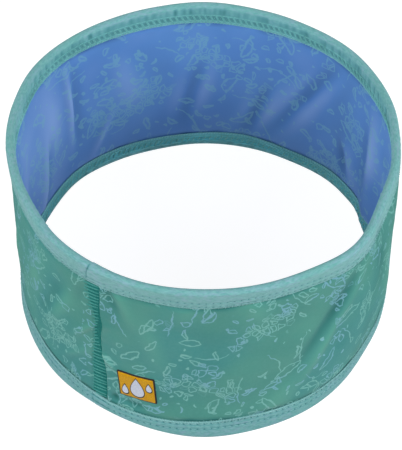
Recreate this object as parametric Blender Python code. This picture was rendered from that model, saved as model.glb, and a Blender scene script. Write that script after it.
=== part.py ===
"""A dog's cooling collar: a soft loop of two cloth layers, bound along both edges.

The loop stands on its lower edge. An outer shell and an inner lining lie back to back, their edges
pressed together inside a folded binding. One side seam closes the shell, and a small label sits
beside it. Metres, +Z up. The front of the collar faces -Y, and an azimuth runs from the front
towards +X. The origin is the middle of the space that the collar covers, on the surface it stands on.
"""

import math

import bmesh
import bpy
from mathutils import Vector

# Driving dimensions of the loop
LOOP_RADIUS = 0.075
COLLAR_HEIGHT = 0.0765

# The cloth layers
SHELL_THICK = 0.0010
LINING_THICK = 0.0010
PIECE_GAP = 0.0003
PRESSED_SHARE = 0.5
SWELL_LENGTH = 0.004

# The folded binding on both edges, and the lap where its ends meet
BINDING_THICK = 0.0010
BINDING_WIDTH = 0.0085
BINDING_ROUND = 0.0011
LAP_THICK = 0.0003
LAP_LENGTH = 0.010

# The side seam, a band of dense overlock thread: its azimuth at the foot, and how far its top leans
SEAM_AZIMUTH = 331.3
SEAM_LEAN = -0.0016
SEAM_WIDTH = 0.0040
SEAM_THICK = 0.0007

# The label, its distance from the seam and from the lower binding, and its turn in degrees
LABEL_FROM_SEAM = 0.0050
LABEL_FROM_BINDING = 0.0048
LABEL_WIDTH = 0.0150
LABEL_HEIGHT = 0.0134
LABEL_THICK = 0.0006
LABEL_TURN = 5.0

# Mesh steps
AROUND = 80
SHELL_ROWS = 5
CORNER_STEPS = 2
LABEL_COLUMNS = 4
LABEL_ROWS = 3
SEAM_ROWS = 12

# The loop seen from above. Columns: azimuth in degrees, then shares of LOOP_RADIUS: the lower edge,
# the upper edge, and how far the middle of the wall is drawn in between them.
OUTLINE = (
    (0, 1.055, 1.020, 0.018),
    (15, 1.045, 1.020, 0.014),
    (30, 1.030, 1.015, 0.008),
    (45, 1.000, 1.025, -0.004),
    (60, 0.970, 0.995, -0.012),
    (75, 0.955, 0.960, -0.014),
    (90, 0.955, 0.945, -0.014),
    (105, 0.965, 0.965, -0.010),
    (120, 0.990, 0.985, 0.000),
    (135, 1.025, 1.005, 0.010),
    (150, 1.025, 1.010, 0.014),
    (165, 1.035, 1.025, 0.016),
    (180, 1.035, 1.040, 0.018),
    (195, 1.020, 1.030, 0.016),
    (210, 1.015, 1.020, 0.014),
    (225, 1.010, 1.015, 0.010),
    (240, 0.970, 1.005, 0.006),
    (255, 0.950, 0.975, 0.004),
    (270, 0.945, 0.960, 0.004),
    (285, 0.950, 0.950, 0.006),
    (300, 0.970, 0.955, 0.010),
    (315, 0.995, 0.985, 0.014),
    (330, 1.010, 1.005, 0.018),
    (345, 1.035, 1.020, 0.018),
)

# Soft folds of the wall. Columns: azimuth in degrees at the fold's middle, lean in degrees of azimuth
# over the whole height, the middle's share of the height, depth as a share of LOOP_RADIUS (outwards is
# positive), half width in degrees, and half length as a share of the height.
FOLDS = (
    (143.0, -33.0, 0.62, 0.018, 8.0, 0.42),
    (163.5, -33.0, 0.26, 0.010, 7.0, 0.24),
    (185.0, -20.0, 0.36, 0.011, 8.0, 0.30),
    (204.0, 14.0, 0.55, -0.008, 9.0, 0.36),
    (228.0, 0.0, 0.62, -0.010, 6.0, 0.36),
    (244.0, -13.0, 0.40, -0.009, 6.0, 0.38),
    (38.5, -8.0, 0.62, -0.012, 6.0, 0.30),
    (47.0, -4.0, 0.45, 0.008, 6.0, 0.34),
    (12.0, 20.0, 0.40, 0.006, 9.0, 0.30),
    (318.0, -34.0, 0.66, -0.009, 7.0, 0.30),
    (76.0, 12.0, 0.50, 0.007, 8.0, 0.36),
    (292.0, 10.0, 0.45, 0.006, 8.0, 0.36),
)

# Colour, roughness and metallic value of each material
COLOURS = {
    "shell_cloth": ((0.078, 0.262, 0.250), 0.80, 0.0),
    "lining_cloth": ((0.092, 0.212, 0.450), 0.70, 0.0),
    "binding_tape": ((0.180, 0.405, 0.415), 0.85, 0.0),
    "seam_thread": ((0.030, 0.200, 0.185), 0.75, 0.0),
    "label_weave": ((0.550, 0.280, 0.012), 0.65, 0.0),
}

# Half of the two pressed layers, measured outwards and inwards from the wall's middle surface
HALF_GAP = PIECE_GAP / 2
SHELL_PRESSED = HALF_GAP + SHELL_THICK * PRESSED_SHARE
SHELL_FULL = HALF_GAP + SHELL_THICK
LINING_PRESSED = HALF_GAP + LINING_THICK * PRESSED_SHARE
LINING_FULL = HALF_GAP + LINING_THICK
LAYER_EDGE = BINDING_THICK + PIECE_GAP
AZIMUTH_PROBE = 0.5


def outline_share(azimuth, column):
    """A column of OUTLINE at any azimuth, on a smooth closed curve through its rows."""
    rows = len(OUTLINE)
    place = (azimuth % 360.0) / (360.0 / rows)
    row = int(place)
    t = place - row
    before, here, after, beyond = (OUTLINE[(row + k) % rows][column] for k in (-1, 0, 1, 2))
    bend = 2 * before - 5 * here + 4 * after - beyond
    return here + 0.5 * t * (after - before + t * (bend + t * (3 * (here - after) + beyond - before)))


def fold_share(azimuth, rise):
    """How far the folds push the wall out at this place, as a share of LOOP_RADIUS."""
    total = 0.0
    for fold_azimuth, lean, middle, depth, half_width, half_length in FOLDS:
        along = abs(rise - middle) / half_length
        if along >= 1.0:
            continue
        crest = fold_azimuth + lean * (rise - middle)
        across = ((azimuth - crest + 180.0) % 360.0 - 180.0) / half_width
        total += depth * math.exp(-across * across) * math.cos(along * math.pi / 2) ** 2
    return total


def middle_point(azimuth, height):
    """A point of the wall's middle surface, before the loop is centred on the origin."""
    rise = height / COLLAR_HEIGHT
    lower, upper, waist = (outline_share(azimuth, column) for column in (1, 2, 3))
    drawn_in = waist * (1.0 - (2.0 * rise - 1.0) ** 4)
    share = lower + (upper - lower) * rise - drawn_in + fold_share(azimuth, rise)
    angle = math.radians(azimuth)
    return Vector((math.sin(angle), -math.cos(angle), 0.0)) * (LOOP_RADIUS * share) + Vector((0, 0, height))


def place(azimuth, offset, height):
    """The point that lies offset outwards from the wall's middle surface."""
    along = middle_point(azimuth + AZIMUTH_PROBE, height) - middle_point(azimuth - AZIMUTH_PROBE, height)
    outwards = Vector((along.y, -along.x, 0.0)).normalized()
    return middle_point(azimuth, height) + outwards * offset


def degrees_along(length):
    """The azimuth that a length of wall takes up on the mean circle."""
    return math.degrees(length / LOOP_RADIUS)


def swell(height):
    """0 where the layers are pressed in the binding, rising to 1 where the wall has its full thickness."""
    edge = min(height, COLLAR_HEIGHT - height)
    t = min(max((edge - BINDING_WIDTH) / SWELL_LENGTH, 0.0), 1.0)
    return t * t * (3.0 - 2.0 * t)


def shell_face(height):
    """Offset of the shell's outer face."""
    return SHELL_PRESSED + (SHELL_FULL - SHELL_PRESSED) * swell(height)


def lining_face(height):
    """Offset of the lining's inner face, inwards."""
    return LINING_PRESSED + (LINING_FULL - LINING_PRESSED) * swell(height)


def wall_heights():
    """The heights of a layer's rows: close together where it leaves each binding, even between."""
    mouth = BINDING_WIDTH
    full = BINDING_WIDTH + SWELL_LENGTH
    lower = [LAYER_EDGE, mouth, (mouth + full) / 2]
    span = COLLAR_HEIGHT - 2 * full
    middle = [full + span * k / SHELL_ROWS for k in range(SHELL_ROWS + 1)]
    return lower + middle + [COLLAR_HEIGHT - height for height in reversed(lower)]


def loft(name, stations, closed, material):
    """One solid through a row of sections, each a list of points; closed joins the last to the first."""
    shape = bmesh.new()
    rings = [[shape.verts.new(point) for point in station] for station in stations]
    pairs = list(zip(rings, rings[1:]))
    if closed:
        pairs.append((rings[-1], rings[0]))
    else:
        shape.faces.new(rings[0])
        shape.faces.new(list(reversed(rings[-1])))
    for ring, following in pairs:
        for k in range(len(ring)):
            after = (k + 1) % len(ring)
            shape.faces.new((ring[k], following[k], following[after], ring[after]))
    bmesh.ops.recalc_face_normals(shape, faces=shape.faces)
    mesh = bpy.data.meshes.new(name)
    shape.to_mesh(mesh)
    shape.free()
    mesh.shade_smooth()
    mesh.set_sharp_from_angle(angle=math.radians(50))
    piece = bpy.data.objects.new(name, mesh)
    bpy.context.scene.collection.objects.link(piece)
    mesh.materials.append(material)
    return piece


def station_azimuths():
    return [360.0 * k / AROUND for k in range(AROUND)]


def make_shell(material):
    """The outer layer, from inside one binding to inside the other."""
    heights = wall_heights()
    stations = []
    for azimuth in station_azimuths():
        outer = [place(azimuth, shell_face(height), height) for height in heights]
        inner = [place(azimuth, HALF_GAP, height) for height in reversed(heights)]
        stations.append(outer + inner)
    return loft("outer_shell", stations, True, material)


def make_lining(material):
    """The inner layer, which lies against the neck."""
    heights = wall_heights()
    stations = []
    for azimuth in station_azimuths():
        outer = [place(azimuth, -HALF_GAP, height) for height in heights]
        inner = [place(azimuth, -lining_face(height), height) for height in reversed(heights)]
        stations.append(outer + inner)
    return loft("inner_lining", stations, True, material)


def binding_section(lap):
    """The folded tape's section as (offset, depth) points, the depth measured from the collar's edge.

    It is a U whose two flaps cover the pressed layers. lap thickens the outer flap.
    """
    seat_out = SHELL_PRESSED + PIECE_GAP
    seat_in = LINING_PRESSED + PIECE_GAP
    face_out = seat_out + BINDING_THICK
    face_in = seat_in + BINDING_THICK
    rounding = min(BINDING_ROUND, face_out, face_in)
    quarter = [math.pi / 2 * k / CORNER_STEPS for k in range(CORNER_STEPS + 1)]
    outer_corner = [
        (face_out + lap - rounding * (1 - math.sin(turn)), rounding * (1 - math.cos(turn))) for turn in quarter
    ]
    inner_corner = [
        (-face_in + rounding * (1 - math.cos(turn)), rounding * (1 - math.sin(turn))) for turn in quarter
    ]
    flaps = [
        (face_out + lap, BINDING_WIDTH - PIECE_GAP),
        (seat_out, BINDING_WIDTH),
        (seat_out, BINDING_THICK),
        (-seat_in, BINDING_THICK),
        (-seat_in, BINDING_WIDTH),
        (-face_in, BINDING_WIDTH - PIECE_GAP),
    ]
    return outer_corner + flaps + inner_corner


def lap_at(azimuth):
    """Extra thickness of the outer flap where one end of the tape lies on the other."""
    past = (azimuth - SEAM_AZIMUTH) % 360.0
    length = degrees_along(LAP_LENGTH)
    return LAP_THICK * (1.0 - past / length) if past < length else 0.0


def binding_azimuths():
    """The layers' own stations, and two close ones that make the lap's step at the seam."""
    step = degrees_along(PIECE_GAP)
    return sorted(station_azimuths() + [(SEAM_AZIMUTH - step) % 360.0, SEAM_AZIMUTH % 360.0])


def make_binding(name, upper, material):
    """The binding on the upper or the lower edge."""
    stations = []
    for azimuth in binding_azimuths():
        section = binding_section(lap_at(azimuth))
        if upper:
            section = [(offset, COLLAR_HEIGHT - depth) for offset, depth in section]
        stations.append([place(azimuth, offset, height) for offset, height in section])
    return loft(name, stations, True, material)


def patch_section(line, thick):
    """A thin piece's section over a line of (azimuth, height) places on the shell: up its face, down its back."""
    front = [place(azimuth, shell_face(height) + PIECE_GAP + thick, height) for azimuth, height in line]
    back = [place(azimuth, shell_face(height) + PIECE_GAP, height) for azimuth, height in reversed(line)]
    return front + back


def make_seam(material):
    """The band of thread that closes the shell, from one binding to the other."""
    low = BINDING_WIDTH + PIECE_GAP
    high = COLLAR_HEIGHT - low
    heights = [low + (high - low) * k / SEAM_ROWS for k in range(SEAM_ROWS + 1)]
    stations = []
    for side in (-0.5, 0.0, 0.5):
        line = [
            (SEAM_AZIMUTH + degrees_along(SEAM_WIDTH * side + SEAM_LEAN * height / COLLAR_HEIGHT), height)
            for height in heights
        ]
        stations.append(patch_section(line, SEAM_THICK))
    return loft("side_seam", stations, False, material)


def make_label(material):
    """The rectangular label beside the seam."""
    middle_height = BINDING_WIDTH + LABEL_FROM_BINDING + LABEL_HEIGHT / 2
    middle_azimuth = SEAM_AZIMUTH + degrees_along(SEAM_WIDTH / 2 + LABEL_FROM_SEAM + LABEL_WIDTH / 2)
    turn = math.radians(LABEL_TURN)
    stations = []
    for column in range(LABEL_COLUMNS + 1):
        across = LABEL_WIDTH * (column / LABEL_COLUMNS - 0.5)
        line = []
        for row in range(LABEL_ROWS + 1):
            up = LABEL_HEIGHT * (row / LABEL_ROWS - 0.5)
            azimuth = middle_azimuth + degrees_along(across * math.cos(turn) - up * math.sin(turn))
            line.append((azimuth, middle_height + across * math.sin(turn) + up * math.cos(turn)))
        stations.append(patch_section(line, LABEL_THICK))
    return loft("label", stations, False, material)


def centre_on_origin(pieces):
    """Moves the meshes so that the origin is under the middle of the whole collar."""
    corners = [vertex.co for piece in pieces for vertex in piece.data.vertices]
    across = [(min(axis) + max(axis)) / 2 for axis in zip(*((co.x, co.y) for co in corners))]
    for piece in pieces:
        for vertex in piece.data.vertices:
            vertex.co.x -= across[0]
            vertex.co.y -= across[1]


def make_material(name):
    colour, roughness, metallic = COLOURS[name]
    material = bpy.data.materials.new(name)
    material.use_nodes = True
    shader = material.node_tree.nodes["Principled BSDF"]
    shader.inputs["Base Color"].default_value = (*colour, 1.0)
    shader.inputs["Roughness"].default_value = roughness
    shader.inputs["Metallic"].default_value = metallic
    return material


def main():
    for leftover in list(bpy.data.objects):
        bpy.data.objects.remove(leftover)
    materials = {name: make_material(name) for name in COLOURS}
    pieces = [
        make_shell(materials["shell_cloth"]),
        make_lining(materials["lining_cloth"]),
        make_binding("lower_binding", False, materials["binding_tape"]),
        make_binding("upper_binding", True, materials["binding_tape"]),
        make_seam(materials["seam_thread"]),
        make_label(materials["label_weave"]),
    ]
    centre_on_origin(pieces)


main()
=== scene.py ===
"""The looks of a dog's cooling collar: a printed cloth shell, a blue lining, bound edges, a seam and a label.

Lengths are metres. An azimuth is in degrees, from the front (-Y) towards +X. The wall's form is read from
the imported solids, and every visible piece is laid on it. An offset is measured outwards from the middle
surface, between the two cloth layers. A share of the height is 0 at the foot and 1 at the top. A depth is
measured from the nearer edge of the collar.
"""
import math

import bpy
import numpy as np
from mathutils import Matrix, Vector
from mathutils.bvhtree import BVHTree


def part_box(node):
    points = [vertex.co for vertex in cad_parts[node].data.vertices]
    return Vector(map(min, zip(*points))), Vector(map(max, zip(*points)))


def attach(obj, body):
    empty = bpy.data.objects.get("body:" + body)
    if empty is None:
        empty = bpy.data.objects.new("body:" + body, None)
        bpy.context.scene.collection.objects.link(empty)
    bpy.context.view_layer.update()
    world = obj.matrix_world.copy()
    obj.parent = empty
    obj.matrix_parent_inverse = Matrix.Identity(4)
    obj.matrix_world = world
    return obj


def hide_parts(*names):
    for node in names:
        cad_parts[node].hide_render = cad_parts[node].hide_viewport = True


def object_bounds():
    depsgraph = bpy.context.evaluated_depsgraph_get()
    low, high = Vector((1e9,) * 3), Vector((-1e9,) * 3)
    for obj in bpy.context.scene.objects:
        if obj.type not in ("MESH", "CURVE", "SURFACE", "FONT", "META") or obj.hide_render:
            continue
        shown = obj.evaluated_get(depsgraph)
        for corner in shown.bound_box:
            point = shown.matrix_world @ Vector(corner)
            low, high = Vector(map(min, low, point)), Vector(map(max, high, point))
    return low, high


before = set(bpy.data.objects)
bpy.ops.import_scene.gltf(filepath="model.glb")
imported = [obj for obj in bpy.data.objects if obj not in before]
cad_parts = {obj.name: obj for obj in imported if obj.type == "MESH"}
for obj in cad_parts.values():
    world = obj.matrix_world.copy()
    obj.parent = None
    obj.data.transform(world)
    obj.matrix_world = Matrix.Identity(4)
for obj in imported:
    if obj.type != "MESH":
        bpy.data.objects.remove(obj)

cad_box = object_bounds()

MM = 0.001
TAU = math.tau

# The wall's sizes, as the solids have them. A layer is pressed to a share of its thickness in a binding, and
# its hidden face takes part in the relief by a share.
HEIGHT = cad_box[1][2]
LAYER_THICK = 1.0 * MM
LAYER_GAP = 0.3 * MM
LAYER_EDGE = 1.6 * MM
PRESSED_SHARE = 0.5
SWELL_LENGTH = 3.0 * MM
SWELL_START = 0.6 * MM
LEAST_THICK = 0.22 * MM
LEAST_WALL = 0.2 * MM
HIDDEN_SHARE = 0.7

# The label's size, and its turn in degrees
LABEL_WIDTH = 14.6 * MM
LABEL_HEIGHT = 12.9 * MM
LABEL_TURN = 5.0

# The folded binding: the tape, its fold, the stitches through both flaps, and the join of its ends. Rows are
# distances from a flap's rim. The join leans over the binding, in degrees for each metre of depth.
TAPE_THICK = 0.70 * MM
TAPE_HALF = 1.65 * MM
RIM_THICK = 0.5 * MM
FOLD_DEPTH = 1.5 * MM
STITCH_PITCH = 2.4 * MM
OUTER_ROWS = (3.1 * MM, 0.95 * MM)
BRAID_ROWS = (4.0 * MM, 1.3 * MM)
BRAID_SLANT = 1.3 * MM
PUCKERS_START = 3.4 * MM
PUCKERS_FADE = 1.6 * MM
# The length past the fold over which painted shade by the fold fades and the inner flaps' shade tint grows
FOLD_SHADE = 2.0 * MM
JOIN_AZIMUTH = 328.6
JOIN_LEAN = 160.0
JOIN_DEPTH = 0.4 * MM
LAP_LENGTH = 9.0 * MM

# The two bindings. Columns: name, whether it is the upper one, seed of its puckers, how marked its join is.
BINDINGS = (
    ("upper_binding", True, 31, 1.0),
    ("lower_binding", False, 41, 0.375),
)

# Widths of the binding's four flaps, in mm, at azimuths round the loop
FLAP_COLUMNS = ("azimuth", "upper outer", "lower outer", "upper inner", "lower inner")
FLAPS = (
    (0.0, 8.8, 8.0, 8.0, 8.0),
    (14.0, 7.3, 8.4, 8.0, 8.0),
    (30.0, 7.3, 7.8, 8.0, 7.8),
    (45.0, 8.6, 8.4, 8.0, 7.6),
    (60.0, 8.2, 8.2, 8.2, 7.8),
    (90.0, 8.1, 7.9, 8.8, 7.6),
    (106.0, 8.0, 7.8, 9.8, 7.4),
    (117.0, 8.0, 7.8, 9.4, 7.2),
    (130.0, 8.2, 7.8, 8.7, 7.4),
    (150.0, 8.0, 7.8, 7.8, 6.9),
    (168.0, 7.8, 7.8, 8.7, 8.0),
    (187.0, 8.0, 7.8, 8.5, 7.0),
    (206.0, 8.0, 7.8, 8.3, 7.9),
    (230.0, 8.2, 7.8, 7.6, 6.9),
    (252.0, 8.2, 7.8, 9.4, 7.2),
    (270.0, 8.2, 7.9, 8.8, 7.6),
    (300.0, 8.7, 9.2, 8.2, 7.8),
    (319.0, 9.1, 7.4, 8.2, 7.8),
    (332.0, 9.4, 5.4, 8.2, 7.8),
    (346.0, 7.8, 6.1, 8.0, 7.8),
)

# The side seam's edges, its threads and its band. A thread climbs by the one or the other climb in turn.
# Columns: height in mm, left and right edge in mm from the seam's middle.
SEAM_EDGES = (
    (0.0, -3.3, 3.4),
    (9.0, -3.3, 3.3),
    (23.0, -3.2, 3.0),
    (27.0, -3.0, 2.5),
    (31.0, -2.7, 1.5),
    (36.0, -2.2, 1.3),
    (42.0, -2.0, 1.4),
    (45.5, -1.7, 2.0),
    (48.5, -1.6, 2.3),
    (51.5, -2.3, 1.4),
    (55.0, -3.3, 1.1),
    (60.0, -4.0, 1.5),
    (68.0, -4.3, 1.7),
    (76.5, -4.3, 1.7),
)
SEAM_PITCH = 1.7 * MM
SEAM_TUCK = 1.2 * MM
SEAM_THREAD = 0.30 * MM
SEAM_CLIMBS = (1.3 * MM, 0.8 * MM)
BAND_THICK = 0.12 * MM
BAND_CROWN = 0.22 * MM
BAND_DEPTH = 0.42 * MM

# The shell beside the seam: the sunk channel, and the rolled lip on its right
CHANNEL_DEPTH = 0.62 * MM
CHANNEL_SLOPE = 1.4 * MM
LIP_HEIGHT = 0.95 * MM
LIP_CHANGE = 0.25 * MM
LIP_FRONT = 0.5 * MM
LIP_WIDTH = 1.9 * MM
LIP_TAIL = 7.0 * MM

# Steps and smoothing of the wall's table, and steps of the meshes. The cloth's stations lie close together
# over the seam's zone, on both sides of it.
READ_AROUND = 720
READ_ROWS = 64
READ_MARGIN = 0.4 * MM
WALL_FINEST = 44
FLAPS_FINEST = 20
WALL_SMOOTHING = 2.2 * MM
COLUMNS = np.arange(READ_AROUND) * 360.0 / READ_AROUND
RING_COLUMNS = np.append(COLUMNS, 360.0)
SEAM_ZONE = 9.0 * MM
SEAM_FADE = 12.0 * MM
CLOTH_STEP = 0.9 * MM
SEAM_STEP = 0.26 * MM
CLOTH_ROWS = 66
SAMPLES_A_STITCH = 6
FLAP_STEPS = 17
FOLD_STEPS = 12

# Where the whole wall leaves the solids. Columns: azimuth at the middle, lean in degrees over the whole
# height, share of the height, shift outwards in mm, half width in degrees, half length as a share.
WALL_SHIFTS = (
    (63.0, 0.0, 1.0, -2.6, 14.0, 0.50),
    (56.0, 0.0, 0.0, -0.8, 12.0, 0.35),
    (110.0, 0.0, 0.0, -1.4, 8.0, 0.45),
    (121.5, 0.0, 0.0, 0.6, 5.0, 0.30),
    (356.0, 0.0, 0.0, 0.7, 20.0, 0.30),
    (262.0, 0.0, 0.5, 0.4, 14.0, 0.60),
    (78.0, 0.0, 0.45, -1.2, 9.0, 0.42),
)

# Folds of one cloth layer. The columns are the same, but a fold stands away from the other layer.
SHELL_FOLDS = (
    (38.0, 37.0, 0.52, 0.85, 1.8, 0.44),
    (40.5, 30.0, 0.68, -0.9, 3.2, 0.26),
    (31.0, 37.0, 0.48, -0.7, 2.6, 0.3),
    (333.7, -40.0, 0.365, 0.8, 0.7, 0.08),
    (335.0, -30.0, 0.82, -0.8, 2.2, 0.14),
    (338.6, -18.0, 0.8, 0.7, 2.4, 0.18),
    (335.4, 0.0, 0.12, -1.4, 1.1, 0.035),
    (341.5, 0.0, 0.125, -1.1, 2.6, 0.03),
    (346.5, -14.0, 0.62, 0.5, 3.0, 0.3),
    (326.0, 46.0, 0.52, 0.7, 1.0, 0.14),
    (323.5, 30.0, 0.74, -0.7, 2.2, 0.18),
    (318.0, 34.0, 0.6, 0.9, 2.6, 0.34),
    (310.0, 30.0, 0.5, -0.4, 3.2, 0.34),
    (303.0, 22.0, 0.6, 0.8, 4.0, 0.34),
    (322.0, 60.0, 0.3, 0.5, 1.6, 0.14),
    (356.0, 10.0, 0.86, 0.5, 3.0, 0.12),
    (14.0, -24.0, 0.84, 0.5, 3.4, 0.14),
    (22.0, 26.0, 0.22, 0.7, 4.0, 0.2),
    (70.0, -14.0, 0.4, 0.8, 5.0, 0.35),
    (62.0, -20.0, 0.62, -0.7, 3.0, 0.3),
    (100.0, 18.0, 0.55, 0.8, 5.0, 0.35),
    (130.0, -16.0, 0.5, 0.8, 4.0, 0.3),
    (160.0, -20.0, 0.5, 0.9, 5.0, 0.4),
    (190.0, 14.0, 0.6, -0.7, 4.0, 0.3),
    (215.0, 16.0, 0.45, 0.9, 5.0, 0.4),
    (262.0, -12.0, 0.5, 0.8, 5.0, 0.4),
    (284.0, 20.0, 0.5, 0.7, 3.4, 0.34),
)
LINING_FOLDS = (
    (146.8, -34.0, 0.53, -1.3, 2.8, 0.46),
    (142.4, -34.0, 0.53, 1.3, 3.2, 0.44),
    (152.0, -34.0, 0.5, 0.8, 3.2, 0.36),
    (163.0, -20.0, 0.34, -1.3, 2.5, 0.28),
    (159.6, -20.0, 0.34, 0.9, 2.4, 0.26),
    (167.5, -20.0, 0.3, 0.6, 2.8, 0.22),
    (184.0, -14.0, 0.42, -1.2, 2.4, 0.32),
    (180.4, -14.0, 0.44, 0.9, 2.6, 0.30),
    (189.0, -14.0, 0.38, 0.6, 3.0, 0.26),
    (215.0, -30.0, 0.28, 1.1, 1.8, 0.20),
    (227.6, 2.0, 0.6, 2.1, 1.5, 0.40),
    (224.4, 2.0, 0.58, -1.0, 2.4, 0.36),
    (236.0, 2.0, 0.62, 1.1, 5.0, 0.30),
    (244.2, -13.0, 0.3, 1.7, 1.6, 0.34),
    (240.4, -13.0, 0.3, -0.9, 2.2, 0.30),
    (206.0, 12.0, 0.6, 0.9, 4.0, 0.30),
    (130.4, 10.0, 0.27, -1.2, 2.2, 0.16),
    (126.6, 10.0, 0.3, 1.0, 3.0, 0.22),
    (112.8, 0.0, 0.56, 1.9, 4.0, 0.40),
    (119.0, 0.0, 0.52, -0.9, 3.0, 0.34),
    (262.0, -8.0, 0.45, 1.1, 5.0, 0.40),
    (290.0, 12.0, 0.5, 1.3, 5.0, 0.40),
    (330.0, -10.0, 0.5, 1.1, 5.0, 0.40),
    (20.0, 14.0, 0.5, 1.3, 5.0, 0.40),
    (60.0, -12.0, 0.5, 1.1, 5.0, 0.40),
)

# A bulge of the lining. Values: azimuth, share of the height, stand in mm, half width in degrees, half length
# as a share.
LINING_BULGE = (112.5, 0.18, 2.2, 6.0, 0.22)

# Waves all over a layer, gathers beside the bindings, and wrinkles beside the seam. Columns: relief, shortest
# and longest wave, all in mm, and a seed. The wrinkles' lean, place from the seam and half width are degrees.
SHELL_WAVES = ((0.20, 22.0, 60.0, 11), (0.06, 6.0, 14.0, 12))
SHELL_GATHERS = (0.15, 5.0, 12.0, 13)
LINING_WAVES = ((0.25, 24.0, 70.0, 21), (0.05, 6.0, 14.0, 22))
LINING_GATHERS = (0.15, 6.0, 14.0, 23)
GATHER_LENGTH = 5.0 * MM
WRINKLES = (0.14, 3.5, 9.0, 14)
WRINKLE_LEAN = 40.0
WRINKLE_SHIFT = 2.5
WRINKLE_HALF = 5.0

# Broad painted light and shade on a layer, where a stretch stands lit or in shade, and the shell's painted
# shadow over the lower binding. Columns: azimuth, half width in degrees, change.
SHELL_SHADES = (
    (297.0, 12.0, 0.24),
)
LINING_SHADES = (
    (245.0, 13.0, 0.42),
    (131.0, 8.0, -0.24),
)
HEM_SHADE = (322.0, 20.0, 0.9)
# The painted shade beside both bindings' rims: its strength, and the length over which it fades
RIM_SHADE = 0.9
RIM_SHADE_LENGTH = 1.1 * MM

# The relief that has a full painted shade or highlight on the shell and on the lining
SHELL_RELIEF = 1.5 * MM
LINING_RELIEF = 1.9 * MM

# Where the upper binding's inner flap stands lit and has less painted shade: azimuth and half width in
# degrees
LIT_FLAP = (262.0, 26.0)


# Short helpers


def clamped(value):
    """The value, held between 0 and 1."""
    return np.clip(value, 0.0, 1.0)


def eased(value):
    """A smooth step from 0 to 1."""
    share = clamped(value)
    return share * share * (3.0 - 2.0 * share)


def bump(distance, width):
    """1 at no distance, fading to both sides."""
    return np.exp(-((distance / width) ** 2))


def apart(azimuth, other):
    """The signed difference of two azimuths."""
    return (azimuth - other + 180.0) % 360.0 - 180.0


def beside(azimuth, middle, half_width):
    """1 at the middle azimuth, fading to both sides."""
    return bump(apart(azimuth, middle), half_width)


def there_and_back(front, back):
    """Rows that run along the front and return along the back."""
    return np.concatenate([front, back[:, ::-1]], axis=1)


# The order of a face's corners that turns it over
TURNED = [0, 3, 2, 1]


def tube_faces(rows, columns):
    """Faces between a tube's rings, which are its rows, as vertex numbers."""
    i, j = np.meshgrid(np.arange(rows - 1), np.arange(columns), indexing="ij")
    i, j = i.ravel() * columns, j.ravel()
    after = (j + 1) % columns
    return np.stack([i + j, i + after, i + columns + after, i + columns + j], axis=1)


# The wall, read from the shell's inner face


def folds(table, azimuth, height):
    """The sum of a table's folds, in metres."""
    rise = height / HEIGHT
    total = np.zeros(np.broadcast(azimuth, height).shape)
    for middle, lean, level, relief, half_width, half_length in table:
        along = clamped(np.abs(rise - level) / half_length)
        across = beside(azimuth, middle + lean * (rise - level), half_width)
        total += relief * MM * across * np.cos(along * math.pi / 2) ** 2
    return total


def radii_of_shell(heights, azimuths):
    """Distances from the axis to the shell's inner face."""
    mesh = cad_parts["outer_shell"].data
    tree = BVHTree.FromPolygons(
        [vertex.co for vertex in mesh.vertices], [face.vertices for face in mesh.polygons]
    )
    rows = []
    for height in heights:
        centre = Vector((0.0, 0.0, height))
        row = []
        for azimuth in np.radians(azimuths):
            hit = tree.ray_cast(centre, Vector((math.sin(azimuth), -math.cos(azimuth), 0.0)))
            row.append(hit[3])
        rows.append(row)
    return np.array(rows)


def smooth_around(values, finest):
    """Takes away the facets: waves shorter than a turn's finest-th part fade out."""
    waves = np.fft.rfft(values, axis=-1)
    fade = np.exp(-((np.arange(waves.shape[-1]) / finest) ** 4))
    return np.fft.irfft(waves * fade, n=values.shape[-1], axis=-1)


def smooth_up(radii, heights, width):
    """A Gaussian mean over the height, carried straight on past both ends."""
    step = heights[1] - heights[0]
    reach = int(3 * width / step)
    kernel = bump(np.arange(-reach, reach + 1) * step, width * math.sqrt(2))
    kernel /= kernel.sum()
    ahead = np.arange(1, reach + 1)[:, None]
    low_slope = (radii[4] - radii[0]) / 4
    high_slope = (radii[-1] - radii[-5]) / 4
    padded = np.vstack([radii[0] - low_slope * ahead[::-1], radii, radii[-1] + high_slope * ahead])
    return np.stack([np.convolve(column, kernel, "valid") for column in padded.T], axis=1)


def read_wall():
    """Tables of the middle surface: points and outward directions by height and azimuth."""
    low, high = (corner[2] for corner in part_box("outer_shell"))
    inside = np.linspace(low + READ_MARGIN, high - READ_MARGIN, READ_ROWS)
    radii = radii_of_shell(inside, COLUMNS) - LAYER_GAP / 2
    radii = smooth_up(smooth_around(radii, WALL_FINEST), inside, WALL_SMOOTHING)
    heights = np.linspace(0.0, HEIGHT, READ_ROWS + 4)
    low_slope = (radii[3] - radii[0]) / (inside[3] - inside[0])
    high_slope = (radii[-1] - radii[-4]) / (inside[-1] - inside[-4])
    rows = []
    for height in heights:
        if height < inside[0]:
            rows.append(radii[0] + low_slope * (height - inside[0]))
        elif height > inside[-1]:
            rows.append(radii[-1] + high_slope * (height - inside[-1]))
        else:
            place = (height - inside[0]) / (inside[1] - inside[0])
            row = min(int(place), READ_ROWS - 2)
            rows.append(radii[row] + (radii[row + 1] - radii[row]) * (place - row))
    radii = np.array(rows) + folds(WALL_SHIFTS, COLUMNS[None, :], heights[:, None])
    angles = np.radians(COLUMNS)
    x = radii * np.sin(angles)
    y = -radii * np.cos(angles)
    along_x = np.roll(x, -2, axis=1) - np.roll(x, 2, axis=1)
    along_y = np.roll(y, -2, axis=1) - np.roll(y, 2, axis=1)
    length = np.hypot(along_x, along_y)
    return np.stack([x, y, along_y / length, -along_x / length], axis=-1)


WALL = read_wall()


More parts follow.
